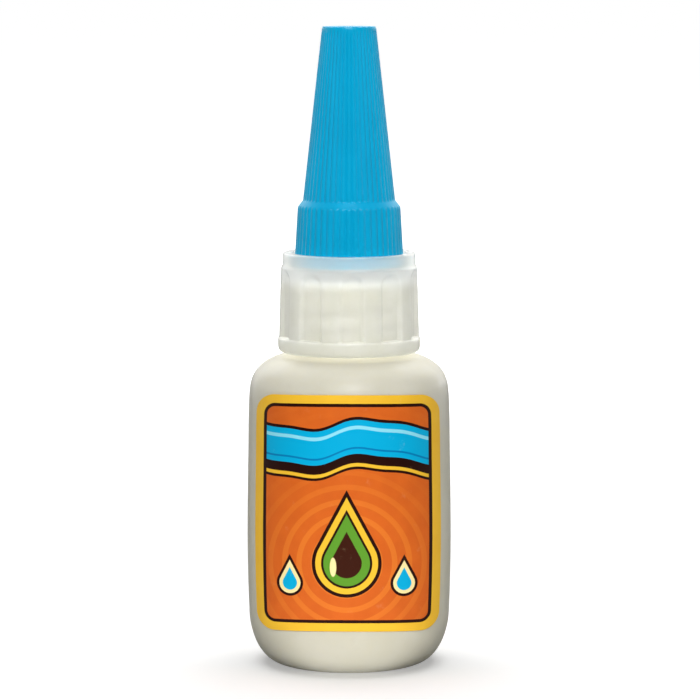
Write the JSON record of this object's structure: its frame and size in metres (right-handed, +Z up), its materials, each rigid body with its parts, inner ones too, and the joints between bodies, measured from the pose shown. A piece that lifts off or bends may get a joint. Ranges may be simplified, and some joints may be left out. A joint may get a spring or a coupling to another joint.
{
  "type": "super glue bottle",
  "caption": "Small round squeeze bottle of super glue with a fluted screw-on nozzle collar and a tall ribbed blue overcap that unscrews; stands on its flat base.",
  "frame": {"origin": "centre of the flat base that the bottle stands on", "axes": "+Z up along the bottle's axis towards the cap; the front label faces -Y and +X is to its right"},
  "size_m": [0.0272, 0.0274, 0.0843],
  "materials": {
    "natural_bottle": "satin",
    "glue": "gloss",
    "seal_foam": "matte",
    "natural_nozzle": "satin",
    "steel_pin": "polished",
    "blue_cap": "satin",
    "label_film": "satin"
  },
  "bodies": {
    "bottle": {"bottle": "natural_bottle", "glue_fill": "glue", "front_label": "label_film", "back_label": "label_film"},
    "seal": {"neck_seal": "seal_foam"},
    "nozzle": {"nozzle_collar": "natural_nozzle"},
    "pin": {"anti_clog_pin": "steel_pin"},
    "cap": {"overcap": "blue_cap"}
  },
  "joints": [
    {"name": "nozzle_lift", "type": "slide", "parent": "bottle", "child": "seal", "axis": [0, 0, 1], "range_m": [0, 0.0125]},
    {"name": "nozzle_turn", "type": "hinge", "parent": "seal", "child": "nozzle", "pos_m": [0, 0, 0.0455], "axis": [0, 0, 1], "range_deg": [0, 1800]},
    {"name": "cap_lift", "type": "slide", "parent": "nozzle", "child": "pin", "axis": [0, 0, 1], "range_m": [0, 0.03]},
    {"name": "cap_turn", "type": "hinge", "parent": "pin", "child": "cap", "pos_m": [0, 0, 0.0555], "axis": [0, 0, 1], "range_deg": [0, 3600]}
  ],
  "couplings": [
    {"joint": "nozzle_turn", "follows": "nozzle_lift", "rad_per_m": 2513.2},
    {"joint": "cap_turn", "follows": "cap_lift", "rad_per_m": 2094.3}
  ]
}
